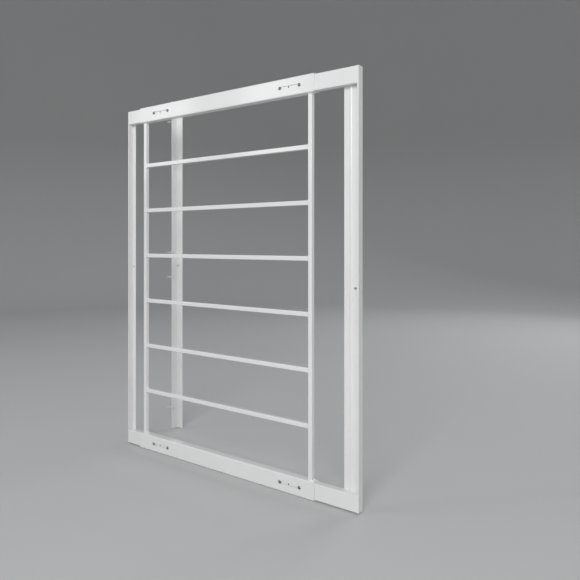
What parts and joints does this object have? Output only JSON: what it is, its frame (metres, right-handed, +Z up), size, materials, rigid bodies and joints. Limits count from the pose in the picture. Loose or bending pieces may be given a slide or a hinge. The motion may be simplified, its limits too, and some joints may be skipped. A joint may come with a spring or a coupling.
{
  "type": "window security bar",
  "caption": "Telescoping window guard: barred centre frame with sleeve rails, sliding left and right end frames, and a jamb channel with a locating pin.",
  "frame": {"origin": "underside of the bottom sleeve rail, at the middle of its length and depth; the channel's lower end stands on the same level", "axes": "+X to the right along the rails as seen from the room, +Y from the room into the window opening, +Z up"},
  "size_m": [0.667, 0.164, 0.85],
  "materials": {
    "white_powder_coat": "satin white powder coat",
    "zinc_plate": "dull zinc plate",
    "bright_zinc": "bright zinc plate"
  },
  "bodies": {
    "jamb_channel": {"left_channel": "white_powder_coat", "locating_pin": "bright_zinc", "channel_screws": "bright_zinc"},
    "left_end": {"left_top_slide": "white_powder_coat", "left_bottom_slide": "white_powder_coat", "left_end_stile": "white_powder_coat"},
    "centre_frame": {"top_sleeve": "white_powder_coat", "bottom_sleeve": "white_powder_coat", "left_stile": "white_powder_coat", "right_stile": "white_powder_coat", "bar_1": "white_powder_coat", "bar_2": "white_powder_coat", "bar_3": "white_powder_coat", "bar_4": "white_powder_coat", "bar_5": "white_powder_coat", "bar_6": "white_powder_coat", "clamp_screws_top_left": "zinc_plate", "clamp_screws_top_right": "zinc_plate", "clamp_screws_bottom_left": "zinc_plate", "clamp_screws_bottom_right": "zinc_plate", "nut_bar_top_left": "white_powder_coat", "nut_bar_top_right": "white_powder_coat", "nut_bar_bottom_left": "white_powder_coat", "nut_bar_bottom_right": "white_powder_coat"},
    "right_end": {"right_top_slide": "white_powder_coat", "right_bottom_slide": "white_powder_coat", "right_lock_stile": "white_powder_coat"}
  },
  "joints": [
    {"name": "seat_slide", "type": "slide", "parent": "jamb_channel", "child": "left_end", "axis": [0, 1, 0], "range_m": [0, 0.1435]},
    {"name": "left_width", "type": "slide", "parent": "left_end", "child": "centre_frame", "axis": [1, 0, 0], "range_m": [-0.02, 0.056]},
    {"name": "right_width", "type": "slide", "parent": "centre_frame", "child": "right_end", "axis": [1, 0, 0], "range_m": [-0.026, 0.034]}
  ]
}
